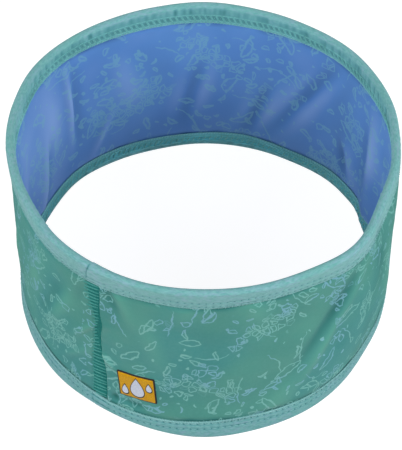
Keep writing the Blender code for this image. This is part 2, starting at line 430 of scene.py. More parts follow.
def wall_at(azimuth, height):
    """The middle surface's x and y and its outward direction, for arrays of azimuths and heights."""
    azimuth, height = np.broadcast_arrays(azimuth, height)
    column = (azimuth % 360.0) / 360.0 * READ_AROUND
    row = np.clip(height / HEIGHT * (WALL.shape[0] - 1), 0.0, WALL.shape[0] - 1.001)
    c0 = column.astype(int)
    r0 = row.astype(int)
    right = (column - c0)[..., None]
    up = (row - r0)[..., None]
    c0 = c0 % READ_AROUND
    c1 = (c0 + 1) % READ_AROUND
    lower = WALL[r0, c0] * (1 - right) + WALL[r0, c1] * right
    upper = WALL[r0 + 1, c0] * (1 - right) + WALL[r0 + 1, c1] * right
    return lower * (1 - up) + upper * up


def laid(azimuth, height, offset):
    """Points at these azimuths, heights and offsets, as an array with x, y and z last."""
    azimuth, height, offset = np.broadcast_arrays(azimuth, height, offset)
    found = wall_at(azimuth, height)
    point = found[..., :2] + found[..., 2:] * offset[..., None]
    return np.concatenate([point, height[..., None]], axis=-1)


def arc_lengths():
    """Length around the loop at half height, at each whole table column and back at the start."""
    middle = WALL[WALL.shape[0] // 2, :, :2]
    steps = np.linalg.norm(np.roll(middle, -1, axis=0) - middle, axis=1)
    return np.concatenate([[0.0], np.cumsum(steps)])


ARC = arc_lengths()
GIRTH = ARC[-1]


def length_at(azimuth):
    """The length around the loop from the front to these azimuths."""
    turns, rest = np.divmod(azimuth, 360.0)
    return np.interp(rest, RING_COLUMNS, ARC) + turns * GIRTH


def azimuth_at(length):
    """The azimuths at these lengths around the loop."""
    turns, rest = np.divmod(length, GIRTH)
    return np.interp(rest, ARC, RING_COLUMNS) + turns * 360.0


def azimuth_of(node):
    """The azimuth of the middle of a node's box."""
    low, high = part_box(node)
    return math.degrees(math.atan2((low[0] + high[0]) / 2, -(low[1] + high[1]) / 2)) % 360.0


SEAM_MIDDLE = azimuth_of("side_seam")
LABEL_MIDDLE = azimuth_of("label")


def read_flaps():
    """The flaps' widths at every table column round the loop, by the name of the flap."""
    azimuths, *widths = np.array(FLAPS).T
    return {
        name: smooth_around(np.interp(COLUMNS, azimuths, width, period=360.0), FLAPS_FINEST) * MM
        for name, width in zip(FLAP_COLUMNS[1:], widths)
    }


FLAP_WIDTHS = read_flaps()


def flap_width(azimuth, upper, outer):
    """The width of the binding's flap at these azimuths."""
    name = ("upper " if upper else "lower ") + ("outer" if outer else "inner")
    return np.interp(np.asarray(azimuth) % 360.0, COLUMNS, FLAP_WIDTHS[name], period=360.0)


# Relief


def ripples(azimuth, height, shortest, longest, seed, upright=1.0, count=28):
    """A smooth random relief of about -1 to 1 that closes round the loop.

    The shortest and the longest wave are in mm, and upright stretches the waves upwards.
    """
    draw = np.random.default_rng(seed)
    total = 0.0
    for _ in range(count):
        wavelength = draw.uniform(shortest * MM, longest * MM)
        direction = draw.uniform(0.0, TAU)
        turns = round(GIRTH / wavelength * math.cos(direction))
        climb = TAU * math.sin(direction) / (wavelength * upright)
        total = total + np.cos(np.radians(azimuth) * turns + climb * height + draw.uniform(0.0, TAU))
    return total / math.sqrt(2 * count)


def free_depth(azimuth, height, outer):
    """How far a point lies past the rims of both bindings' flaps."""
    below = height - flap_width(azimuth, False, outer)
    above = HEIGHT - height - flap_width(azimuth, True, outer)
    return np.minimum(below, above)


def swell(azimuth, height, outer):
    """0 where the layers are pressed in a binding, 1 where the wall has its full thickness."""
    return eased((free_depth(azimuth, height, outer) + SWELL_START) / SWELL_LENGTH)


def layer_face(free):
    """Distance of a layer's outer face from the middle surface, without its relief."""
    return LAYER_GAP / 2 + LAYER_THICK * (PRESSED_SHARE + (1.0 - PRESSED_SHARE) * free)


def seam_edge(height, column):
    """The left (1) or right (2) edge of the seam, as a length around the loop."""
    table = np.array(SEAM_EDGES)
    heights = np.linspace(0.0, table[-1, 0], 400)
    edge = np.interp(heights, table[:, 0], table[:, column])
    kernel = bump(np.arange(-12, 13), 7.0)
    edge = np.convolve(np.pad(edge, 12, mode="edge"), kernel / kernel.sum(), "valid")
    return length_at(SEAM_MIDDLE) + np.interp(np.asarray(height) / MM, heights, edge) * MM


def past_edge(azimuth, height, column):
    """How far points lie to the right of an edge of the seam."""
    return (length_at(azimuth) - seam_edge(height, column) + GIRTH / 2) % GIRTH - GIRTH / 2


def seam_relief(azimuth, height):
    """The shell's sunk channel under the seam, and its rolled lip on the channel's right."""
    right = past_edge(azimuth, height, 2)
    left = past_edge(azimuth, height, 1)
    channel = clamped(left / CHANNEL_SLOPE + 0.6) * np.where(right < 0.0, 1.0, 0.0)
    beyond = np.maximum(right, 0.0)
    crest = LIP_HEIGHT + LIP_CHANGE * np.sin(height / HEIGHT * 21.0 + 1.0)
    front = np.where(right >= 0.0, np.sqrt(clamped(beyond / LIP_FRONT)), 0.0)
    lip = front * (0.25 * np.exp(-beyond / LIP_TAIL) + 0.75 * bump(beyond, LIP_WIDTH))
    return crest * lip - CHANNEL_DEPTH * channel


def waved(row, azimuth, height):
    """A relief of random waves, from a row of a table."""
    relief, shortest, longest, seed = row
    return relief * MM * ripples(azimuth, height, shortest, longest, seed)


def soft_relief(azimuth, height, outer):
    """A layer's folds, its waves, and its gathers beside the bindings."""
    relief = folds(SHELL_FOLDS if outer else LINING_FOLDS, azimuth, height)
    for row in SHELL_WAVES if outer else LINING_WAVES:
        relief = relief + waved(row, azimuth, height)
    gathers = waved(SHELL_GATHERS if outer else LINING_GATHERS, azimuth, 0.0 * height)
    return relief + gathers * bump(free_depth(azimuth, height, outer), GATHER_LENGTH)


def surface(azimuth, height, outer):
    """The distance of a layer's visible face from the middle surface, with all its relief."""
    free = swell(azimuth, height, outer)
    relief = soft_relief(azimuth, height, outer)
    if outer:
        wrinkles = waved(WRINKLES, azimuth + WRINKLE_LEAN * height / HEIGHT, height)
        relief = (relief + wrinkles * beside(azimuth, SEAM_MIDDLE + WRINKLE_SHIFT, WRINKLE_HALF)) * free
        relief = relief + seam_relief(azimuth, height) * (0.25 + 0.75 * free)
    else:
        middle, level, stand, half_width, half_length = LINING_BULGE
        bulge = beside(azimuth, middle, half_width) * bump(height / HEIGHT - level, half_length)
        relief = (relief + stand * MM * bulge) * free
    face = layer_face(free)
    return face + np.maximum(relief, LAYER_GAP / 2 + LEAST_THICK - face)


# Meshes


def placed(name, data, matrix=None):
    """A new object in the scene."""
    made = bpy.data.objects.new(name, data)
    if matrix is not None:
        made.matrix_world = matrix
    bpy.context.scene.collection.objects.link(made)
    return made


def new_piece(name, vertices, faces, material, slot, uv=None, **shades):
    """A mesh object that rides on the collar.

    uv holds a pair for each corner of each face. Each shade is an array with a value for each vertex: the
    painted shading, with some of the cloth's own colour changes, is -1 in a deep hollow and 1 on a crest, and
    inside is up to 1 on a binding's inner flap, whose colour takes a painted shade tint there.
    """
    mesh = bpy.data.meshes.new(name)
    mesh.from_pydata(vertices.reshape(-1, 3).tolist(), [], faces)
    if uv is not None:
        layer = mesh.uv_layers.new(name="cloth")
        layer.data.foreach_set("uv", uv.reshape(-1).astype(np.float32))
    for shade, values in shades.items():
        layer = mesh.attributes.new(shade, "FLOAT", "POINT")
        layer.data.foreach_set("value", np.clip(values, -1.0, 1.0).reshape(-1).astype(np.float32))
    mesh.shade_smooth()
    mesh.materials.append(material)
    piece = placed(name, mesh)
    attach(piece, "root")
    return piece


def ring_piece(name, points, uv, material, slot, **shades):
    """A closed ring from sections: points has a row for each station around, and a column along its section.

    uv has one station more, so that the pattern runs on across the closing stretch.
    """
    around, along = points.shape[:2]
    corners = tube_faces(around + 1, along)[:, TURNED]
    faces = corners % (around * along)
    return new_piece(name, points, faces.tolist(), material, slot, uv.reshape(-1, 2)[corners], **shades)


def cloth_lengths(heights):
    """Lengths around the loop of the cloth's stations, which are its rows. Its columns are the heights.

    Close to the seam the stations lie close together, and they follow its right edge.
    """
    seam = length_at(SEAM_MIDDLE)
    near = np.arange(-SEAM_ZONE, SEAM_ZONE, SEAM_STEP)
    far = np.arange(SEAM_ZONE, GIRTH - SEAM_ZONE, CLOTH_STEP)
    stations = np.concatenate([near, far])
    away = np.minimum(np.abs(stations), GIRTH - stations)
    follow = eased((2 * SEAM_ZONE - away) / SEAM_FADE)
    return seam + stations[:, None] + follow[:, None] * (seam_edge(heights, 2) - seam)[None, :]


def layer_tone(azimuth, height, outer):
    """Painted shading: fold crests lighter and valleys darker, broad lit and shaded stretches, painted shade
    beside the bindings' rims, and a little random colour change of the cloth's own.
    """
    table = SHELL_FOLDS if outer else LINING_FOLDS
    # Painted highlight on the folds' crests and painted shade in their valleys
    tone = folds(table, azimuth, height) / (SHELL_RELIEF if outer else LINING_RELIEF)
    # A little random colour change of the cloth's own
    tone = tone + 0.12 * ripples(azimuth, height, 12.0, 40.0, 15)
    # Broad painted light and shade where a stretch stands lit or in shade
    for middle, half_width, change in SHELL_SHADES if outer else LINING_SHADES:
        tone = tone + change * beside(azimuth, middle, half_width)
    # Painted shade beside the bindings' rims, in random patches, with a painted shadow over the shell's lower
    # binding
    patches = 0.6 + 0.7 * ripples(azimuth, 0.0 * height, 9.0, 30.0, 16)
    if outer:
        middle, half_width, change = HEM_SHADE
        patches = patches + np.where(height < HEIGHT / 2, change * beside(azimuth, middle, half_width), 0.0)
    painted_rim_shade = bump(free_depth(azimuth, height, outer), RIM_SHADE_LENGTH)
    return tone - RIM_SHADE * np.maximum(patches, 0.0) * painted_rim_shade


def make_layer(name, outer, node, material):
    """A cloth layer as a closed wall."""
    heights = np.linspace(LAYER_EDGE, HEIGHT - LAYER_EDGE, CLOTH_ROWS)
    lengths = cloth_lengths(heights)
    azimuth = azimuth_at(lengths)
    height = np.broadcast_to(heights, azimuth.shape)
    side = 1 if outer else -1
    seen = surface(azimuth, height, outer)
    stand = np.maximum(seen - LAYER_GAP / 2 - LAYER_THICK, 0.0)
    hidden = np.minimum(LAYER_GAP / 2 + HIDDEN_SHARE * stand, seen - LEAST_WALL)
    points = there_and_back(laid(azimuth, height, side * seen), laid(azimuth, height, side * hidden))
    across = there_and_back(lengths, lengths)
    across = np.concatenate([across, across[:1] + GIRTH])
    levels = np.broadcast_to(np.concatenate([heights, heights[::-1]]), across.shape)
    uv = np.stack([across, levels], axis=-1)
    # Painted shading of the folds and beside the rims, the same on both faces
    tone = layer_tone(azimuth, height, outer)
    tone = there_and_back(tone, tone)
    if not outer:
        points, uv, tone = (values[:, ::-1] for values in (points, uv, tone))
    piece = ring_piece(name, points, uv, material, name, tone=tone)
    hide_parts(node)
    return piece


# The bindings


def edge_height(depth, upper):
    """The height at a depth from the upper or the lower edge."""
    return HEIGHT - depth if upper else depth


def tape_face(azimuth, from_rim, upper, outer):
    """Height and offset, without its sign, of the tape's visible face at distances from the flap's rim."""
    width = flap_width(azimuth, upper, outer)
    depth = width - from_rim
    share = clamped((depth - FOLD_DEPTH) / (width - FOLD_DEPTH))
    seat = surface(azimuth, edge_height(width, upper), outer)
    offset = TAPE_HALF + (seat + RIM_THICK - TAPE_HALF) * share**3
    return edge_height(depth, upper), offset


def past_join(azimuth, depth):
    """How far points lie past the tape's join, as a length around the loop."""
    return apart(azimuth, JOIN_AZIMUTH - JOIN_LEAN * depth) / 360.0 * GIRTH


def lap_share(past):
    """1 where the tape's end lies over its start, at the join, fading out over the lap."""
    return np.where(past > 0.0, clamped(1.0 - past / LAP_LENGTH), 0.0)


def braid_phase(length, from_rim):
    """The phase of the plaited stitches, 0 on a slanting bar."""
    near, far = BRAID_ROWS[1], BRAID_ROWS[0]
    return TAU * (length - BRAID_SLANT * (from_rim - near) / (far - near)) / STITCH_PITCH


def outer_detail(length, from_rim):
    """Relief and shading of the outer flap: two rows of needle holes pressed in and darkened as painted
    shade, and a light rim.
    """
    phase = TAU * length / STITCH_PITCH
    relief = 0.0
    tone = 0.0
    for row in OUTER_ROWS:
        hole = 0.5 - 0.5 * np.cos(phase)
        relief = relief - bump(from_rim - row, 0.38 * MM) * (0.14 - 0.06 * np.cos(phase)) * MM
        tone = tone - bump(from_rim - row, 0.24 * MM) * (0.62 + 0.48 * hole**2)
    between = bump(from_rim - sum(OUTER_ROWS) / 2, 0.8 * MM)
    relief = relief + 0.05 * MM * between * np.cos(phase)
    teeth = 0.55 + 0.45 * np.cos(2.0 * phase)
    return relief, tone + 0.75 * teeth * bump(from_rim - 0.1 * MM, 0.42 * MM)


def inner_detail(length, from_rim):
    """Relief and shading of the inner flap: a sunk strip under the plaited stitches and its holes, both
    darkened as painted shade, light rows and a light rim.
    """
    middle = sum(BRAID_ROWS) / 2
    strip = bump(from_rim - middle, 1.45 * MM)
    hole = bump(from_rim - middle, 0.55 * MM) * (0.5 - 0.5 * np.cos(braid_phase(length, from_rim))) ** 6
    teeth = 0.55 + 0.45 * np.cos(2.0 * TAU * length / STITCH_PITCH)
    light = 0.7 * teeth * bump(from_rim - 0.15 * MM, 0.45 * MM)
    rows = sum(bump(from_rim - row, 0.3 * MM) for row in BRAID_ROWS)
    return -(0.14 * strip + 0.16 * hole) * MM, light + 0.16 * rows - 0.05 * strip - 0.44 * hole


def tape_detail(azimuth, length, from_rim, depth, upper, outer, seed, join):
    """Relief and shading of a flap, with its puckers and, on the outer flap, the tape's lapped join. The
    inner flap is darkened as painted shade, with painted streaks of its puckers, and the upper outer flap
    is lightened and the lower one darkened as painted light and shade.
    """
    relief, tone = outer_detail(length, from_rim) if outer else inner_detail(length, from_rim)
    puckers = ripples(azimuth, depth, 1.7, 4.6, seed, upright=8.0)
    slow = ripples(azimuth, depth, 14.0, 34.0, seed + 1, upright=3.0)
    past_rows = clamped((from_rim - PUCKERS_START) / PUCKERS_FADE)
    strength = 0.04 if outer else 0.05 + 0.15 * past_rows
    relief = relief + (strength * puckers + 0.10 * slow) * MM * clamped(depth / FOLD_DEPTH)
    if outer:
        past = past_join(azimuth, depth)
        line = join * bump(past, 0.32 * MM)
        relief = relief + JOIN_DEPTH * (0.8 * join * lap_share(past) - 0.7 * line)
        # Painted light on the upper outer flap and painted shade on the lower one; the join is a dark line
        return relief, tone + (0.20 if upper else -0.08) - 0.9 * line
    # Painted shade deeper into the upper inner flap, less where it stands lit, with painted pucker streaks
    deep = clamped((depth - 0.4 * MM) / (2.0 * MM)) * (1.0 - 0.7 * beside(azimuth, *LIT_FLAP))
    pucker_shading = np.clip(puckers, -1.2, 0.6) * past_rows * deep
    # Painted shade on the lower inner flap near its fold, at the foot
    by_fold = clamped(1.0 - (depth - FOLD_DEPTH) / FOLD_SHADE)
    return relief, tone - (0.08 + 0.34 * deep if upper else 0.5 * by_fold) + 0.28 * pucker_shading


def tape_columns(azimuth, length, upper, seed, join):
    """The tape's section at each station: offset, depth and painted shading with some colour of its own, each
    with a row for each station.
    """
    columns = []

    def add_flap(outer, share, sunk=0.0):
        """Points along a flap, by the fold where share is 0 and on the rim where it is 1."""
        side = 1 if outer else -1
        width = flap_width(azimuth, upper, outer)
        from_rim = (1.0 - share) * (width - FOLD_DEPTH)
        depth = width - from_rim
        relief, tone = -sunk, 0.0 * depth
        if not sunk:
            relief, tone = tape_detail(azimuth, length, from_rim, depth, upper, outer, seed, join)
        face = tape_face(azimuth, from_rim, upper, outer)[1]
        columns.append((side * (face + relief), depth, tone))

    def add_rim(outer, shift, drop):
        """Points on the flap's cut edge, past its rim by shift and below its face by drop, darker the lower
        they lie, as painted shade under the rim.
        """
        side = 1 if outer else -1
        width = flap_width(azimuth, upper, outer)
        face = tape_face(azimuth, 0.0 * width, upper, outer)[1]
        columns.append((side * (face - drop), width + shift, 0.3 - 2.0 * drop / MM + 0.0 * width))

    shares = np.linspace(1.0, 0.0, FLAP_STEPS)
    for share in shares:
        add_flap(True, share)
    past = past_join(azimuth, 0.0)
    lap = 0.8 * JOIN_DEPTH * join * lap_share(past)
    notch = join * bump(past, 0.34 * MM)
    slow = 0.10 * MM * ripples(azimuth, 0.0 * azimuth, 14.0, 34.0, seed + 3)
    for turn in np.linspace(0.0, math.pi, FOLD_STEPS)[1:-1]:
        outwards, upwards = math.cos(turn), math.sin(turn)
        cut = max(outwards, 0.0)
        depth = FOLD_DEPTH * (1.0 - upwards) + slow * upwards + 0.5 * MM * notch * cut
        # Painted shading on the fold: a little lighter outwards, darker over its crest, much darker on the
        # lower binding's fold at the foot; the notch is the join's dark line
        tone = 0.06 * outwards - (0.10 if upper else 0.60) * upwards - 0.9 * notch * cut**0.5
        columns.append(((TAPE_HALF + lap) * outwards, np.maximum(depth, 0.0), tone))
    for share in shares[::-1]:
        add_flap(False, share)
    rims = ((0.10 * MM, 0.18 * MM), (0.06 * MM, 0.42 * MM))
    backs = ((0.95, RIM_THICK), (0.475, TAPE_THICK), (0.0, TAPE_THICK))
    for shift, drop in rims:
        add_rim(False, shift, drop)
    for share, sunk in backs:
        add_flap(False, share, sunk)
    for share, sunk in reversed(backs):
        add_flap(True, share, sunk)
    for shift, drop in reversed(rims):
        add_rim(True, shift, drop)
    return (np.stack(column, axis=1) for column in zip(*columns))


def make_binding(node, upper, seed, join, material):
    """A folded tape on the upper or lower edge."""
    stitches = round(GIRTH / STITCH_PITCH)
    count = stitches * SAMPLES_A_STITCH
    lengths = np.arange(count + 1) * GIRTH / count
    azimuth = azimuth_at(lengths[:-1])
    counted = lengths[:-1] * stitches * STITCH_PITCH / GIRTH
    offset, depth, tone = tape_columns(azimuth, counted, upper, seed, join)
    points = laid(azimuth[:, None], np.clip(edge_height(depth, upper), 0.0, HEIGHT), offset)
    # inside marks the inner flaps for a painted shade tint: faint on the upper binding, growing in past the
    # fold
    inside = (0.15 if upper else 1.0) * clamped(-2.0 * offset / TAPE_HALF - 1.0)
    inside = inside * clamped((depth - FOLD_DEPTH) / FOLD_SHADE)
    section = np.append(0.0, np.cumsum(np.hypot(np.diff(offset[0]), np.diff(depth[0]))))
    if not upper:
        points, tone, inside = (values[:, ::-1] for values in (points, tone, inside))
        section = section[::-1]
    uv = np.stack(np.meshgrid(lengths, section, indexing="ij"), axis=-1)
    piece = ring_piece(node + "_tape", points, uv, material, "binding_tape", tone=tone, inside=inside)
    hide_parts(node)
    return piece


# Threads


def threads(name, groups, material, slot, sides=6, flat=0.8):
    """Round threads, tapered at both ends, as one mesh.

    Each group is a radius and its paths, an array of threads by points by x, y and z.
    """
    vertices = []
    faces = []
    first_vertex = 0
    angles = np.arange(sides) * TAU / sides
    wide = np.cos(angles)[:, None]
    high = flat * np.sin(angles)[:, None]
    j = np.arange(sides)
    after = (j + 1) % sides
    for radius, paths in groups:
        count, steps = paths.shape[:2]
        along = np.gradient(paths, axis=1)
        along /= np.linalg.norm(along, axis=-1, keepdims=True)
        across = np.cross(along, paths * np.array([1.0, 1.0, 0.0]))
        across /= np.linalg.norm(across, axis=-1, keepdims=True)
        raised = np.cross(across, along)
        taper = np.sin(np.linspace(0.12, 0.88, steps) * math.pi) ** 0.4 * radius
        ring = across[:, :, None] * wide + raised[:, :, None] * high
        tube = (paths[:, :, None] + ring * taper[None, :, None, None]).reshape(count, steps * sides, 3)
        first = paths[:, :1] - along[:, :1] * radius * 0.5
        last = paths[:, -1:] + along[:, -1:] * radius * 0.5
        made = np.concatenate([tube, first, last], axis=1)
        vertices.append(made.reshape(-1, 3))
        end = (steps - 1) * sides
        near_cap = np.stack([after, j, np.full(sides, steps * sides)], axis=1)
        far_cap = np.stack([end + j, end + after, np.full(sides, steps * sides + 1)], axis=1)
        shift = first_vertex + np.arange(count)[:, None, None] * made.shape[1]
        faces += (tube_faces(steps, sides)[None] + shift).reshape(-1, 4).tolist()
        faces += (np.concatenate([near_cap, far_cap])[None] + shift).reshape(-1, 3).tolist()
        first_vertex += count * made.shape[1]
    return new_piece(name, np.concatenate(vertices), faces, material, slot)


def stitch_starts(pitch=STITCH_PITCH):
    """A column of the lengths around the loop at which stitches start."""
    count = round(GIRTH / pitch)
    return (np.arange(count) * GIRTH / count)[:, None]


def on_tape(lengths, from_rim, lift, upper, outer):
    """Points over the tape's face."""
    azimuth = azimuth_at(lengths)
    from_rim = from_rim + 0.0 * lengths
    height, face = tape_face(azimuth, from_rim, upper, outer)
    side = 1 if outer else -1
    return laid(azimuth, height, side * (face + lift))


def rim_stitches(upper, outer):
    """Short threads over a flap's rim, which give it its small teeth."""
    t = np.linspace(0.0, 1.0, 6)
    lengths = stitch_starts(STITCH_PITCH / 2) + (0.25 + 0.35 * t) * STITCH_PITCH / 2
    from_rim = 0.75 * MM - 0.95 * MM * t
    lift = np.interp(t, (0.0, 0.3, 0.75, 1.0), (-0.02 * MM, 0.10 * MM, 0.04 * MM, -0.32 * MM))
    return 0.19 * MM, on_tape(lengths, from_rim, lift, upper, outer)


def needle_stitches(name, upper, material):
    """Two rows of straight stitches on the outer flap, and the threads over its rim."""
    t = np.linspace(0.0, 1.0, 6)
    paths = []
    for row in OUTER_ROWS:
        lengths = stitch_starts() + (t * 0.80 + 0.60) * STITCH_PITCH
        lift = -0.16 * MM + 0.11 * MM * np.sin(t * math.pi)
        paths.append(on_tape(lengths, row, lift, upper, True))
    groups = [(0.14 * MM, np.concatenate(paths)), rim_stitches(upper, True)]
    return threads(name, groups, material, "binding_tape", sides=5)


def looper_stitches(name, upper, material):
    """The plaited threads on the inner flap: slanting bars, crossing threads under them, and both rows."""
    t = np.linspace(0.0, 1.0, 7)
    far, near = BRAID_ROWS
    arch = np.sin(t * math.pi)
    bars = []
    for shift in (-0.22 * MM, 0.24 * MM):
        lengths = stitch_starts() + shift + BRAID_SLANT * t
        bars.append(on_tape(lengths, near + (far - near) * t, -0.10 * MM + 0.17 * MM * arch, upper, False))
    lengths = stitch_starts() + BRAID_SLANT + (STITCH_PITCH - BRAID_SLANT) * t
    crossing = on_tape(lengths, far + (near - far) * t, -0.30 * MM + 0.04 * MM * arch, upper, False)
    rows = []
    for row, start in ((far + 0.1 * MM, BRAID_SLANT), (near - 0.1 * MM, 0.0)):
        lengths = stitch_starts() + start + (0.06 + 0.88 * t) * STITCH_PITCH
        rows.append(on_tape(lengths, row, 0.02 * MM + 0.08 * MM * arch, upper, False))
    groups = [
        (0.17 * MM, np.concatenate(bars)),
        (0.10 * MM, crossing),
        (0.18 * MM, np.concatenate(rows)),
        rim_stitches(upper, False),
    ]
    return threads(name, groups, material, "binding_tape", sides=5)


# The side seam


def seam_floor(azimuth, height):
    """The offset of the band in the seam's channel."""
    return layer_face(swell(azimuth, height, True)) - BAND_DEPTH


def make_seam(material, thread_material):
    """The overlocked seam: a sunk band, and the threads that cross it."""
    low = float(flap_width(SEAM_MIDDLE, False, True)) - SEAM_TUCK
    high = HEIGHT - float(flap_width(SEAM_MIDDLE, True, True)) + SEAM_TUCK
    height, share = np.meshgrid(np.linspace(low, high, 120), np.linspace(0.0, 1.0, 11), indexing="ij")
    left = seam_edge(height, 1) - 0.2 * MM
    right = seam_edge(height, 2) + 0.1 * MM
    azimuth = azimuth_at(left + (right - left) * share)
    level = seam_floor(azimuth, height)
    front = laid(azimuth, height, level + BAND_CROWN * (1.0 - (2.0 * share - 1.0) ** 4))
    points = there_and_back(front, laid(azimuth, height, level - BAND_THICK))
    rows, along = points.shape[:2]
    faces = tube_faces(rows, along).tolist()
    for k in range(share.shape[1] - 1):
        quad = [k, along - 1 - k, along - 2 - k, k + 1]
        faces.append(quad)
        faces.append([(rows - 1) * along + corner for corner in reversed(quad)])
    band = new_piece("side_seam_band", points, faces, material, "seam_thread")
    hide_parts("side_seam")

    levels = np.arange(low + SEAM_PITCH, high - SEAM_PITCH / 2, SEAM_PITCH)[:, None]
    climb = np.where(np.arange(len(levels)) % 2 == 0, *SEAM_CLIMBS)[:, None]
    t = np.linspace(0.0, 1.0, 10)
    draw = np.random.default_rng(5)
    rise = levels / HEIGHT
    under_lip = bump(rise - 0.565, 0.13)
    past_left = (0.5 + 1.5 * clamped((rise - 0.62) / 0.1)) * MM
    start = seam_edge(levels, 1) - past_left * draw.uniform(0.3, 1.35, levels.shape)
    end = seam_edge(levels, 2) - (0.5 + 1.9 * under_lip) * MM
    azimuth = azimuth_at(start + (end - start) * t)
    height = levels + draw.uniform(-0.15, 0.15, levels.shape) * MM + climb * (t - 0.5)
    on_band = seam_floor(azimuth, height) + BAND_CROWN
    lift = np.maximum(surface(azimuth, height, True), on_band) + (0.03 + 0.06 * np.sin(t * math.pi)) * MM
    groups = [(SEAM_THREAD, laid(azimuth, height, lift))]
    return band, threads("side_seam_stitches", groups, thread_material, "seam_thread")


# The label: an amber field in a dark border, with drops of water on it


def label_place(x, y):
    """Azimuths and heights of points of the label, from its middle, x to the right and y up."""
    turn = math.radians(LABEL_TURN)
    low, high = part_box("label")
    height = (low[2] + high[2]) / 2 + x * math.sin(turn) + y * math.cos(turn)
    lengths = length_at(LABEL_MIDDLE) + x * math.cos(turn) - y * math.sin(turn)
    return azimuth_at(lengths), height


def label_plate(name, outline, levels, material, rings=6):
    """A thin plate with rounded rims. levels are its lowest and highest distance from the shell."""
    outline = np.array(outline)
    centre = outline.mean(axis=0)
    count = len(outline)
    bottom, top = levels
    rim = min(0.12 * MM, (top - bottom) / 2)
    shares = np.array([*np.linspace(0.0, 0.97, rings)[1:], 1.0, 1.0])
    lifts = [top] * (rings - 1) + [top - rim, bottom]
    flat = (centre + (outline - centre) * shares[:, None, None]).reshape(-1, 2)
    flat = np.concatenate([flat, [centre, centre]])
    azimuth, height = label_place(*flat.T)
    lift = np.append(np.repeat(lifts, count), [top, bottom])
    vertices = laid(azimuth, height, surface(azimuth, height, True) + lift)
    last = len(shares)
    faces = tube_faces(last, count)[:, TURNED].tolist()
    for k in range(count):
        after = (k + 1) % count
        faces.append([last * count, k, after])
        faces.append([last * count + 1, (last - 1) * count + after, (last - 1) * count + k])
    piece = new_piece(name, vertices, faces, material, "label_weave", flat[np.concatenate(faces)])
    piece.data.set_sharp_from_angle(angle=math.radians(40))
    return piece


def rounded_rectangle(width, height, radius, corner_steps=5, side_steps=10):
    """A rectangle's outline with round corners, anticlockwise, its straight sides cut in short lengths."""
    arcs = []
    for quarter, signs in enumerate(((1, 1), (-1, 1), (-1, -1), (1, -1))):
        middle = np.array(signs) * (np.array((width, height)) / 2 - radius)
        angles = math.pi / 2 * (quarter + np.arange(corner_steps + 1) / corner_steps)
        arcs.append(middle + radius * np.stack([np.cos(angles), np.sin(angles)], axis=1))
    points = []
    for arc, following in zip(arcs, arcs[1:] + arcs[:1]):
        side = following[0] - arc[-1]
        points += [*arc, *(arc[-1] + side * k / side_steps for k in range(1, side_steps))]
    return points


def drop_outline(x, y, width, height, steps=40):
    """A water drop with its point up."""
    points = []
    for k in range(steps):
        angle = TAU * k / steps
        round_y = -math.cos(angle)
        narrow = ((1.0 - round_y) / 2.0) ** 0.6
        points.append((x + width / 2 * math.sin(angle) * narrow * 1.15, y + height / 2 * round_y))
    return points


# The drops on the label, in mm. Columns: x and y of the middle, width, height.
DROPS = (
    (0.2, 0.0, 6.6, 10.2),
    (-4.7, -2.4, 3.3, 5.2),
    (4.9, 1.4, 2.9, 4.6),
)


def make_label(materials):
    """The label's plates, lowest first."""
    border = 0.42 * MM
    line = 0.38 * MM
    dark = materials["label_dark"]
    whole = rounded_rectangle(LABEL_WIDTH, LABEL_HEIGHT, 0.4 * MM)
    field = rounded_rectangle(LABEL_WIDTH - 2 * border, LABEL_HEIGHT - 2 * border, 0.2 * MM)
    plates = [
        ("label_border", whole, (-0.05 * MM, 0.40 * MM), dark),
        ("label_field", field, (0.1 * MM, 0.47 * MM), materials["label_amber"]),
    ]
    for k, row in enumerate(DROPS, start=1):
        x, y, width, height = (value * MM for value in row)
        rim = drop_outline(x, y, width + line, height + 1.7 * line)
        face = drop_outline(x, y, width - line, height - 1.4 * line)
        plates.append((f"label_drop_line_{k}", rim, (0.2 * MM, 0.52 * MM), dark))
        plates.append((f"label_drop_{k}", face, (0.3 * MM, 0.57 * MM), materials["label_pale"]))
    pieces = [label_plate(*plate) for plate in plates]
    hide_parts("label")
    return pieces


# Materials


def fill(sockets, values):
    """Sets sockets of a node, by their names."""
    for name, value in values.items():
        sockets[name].default_value = value


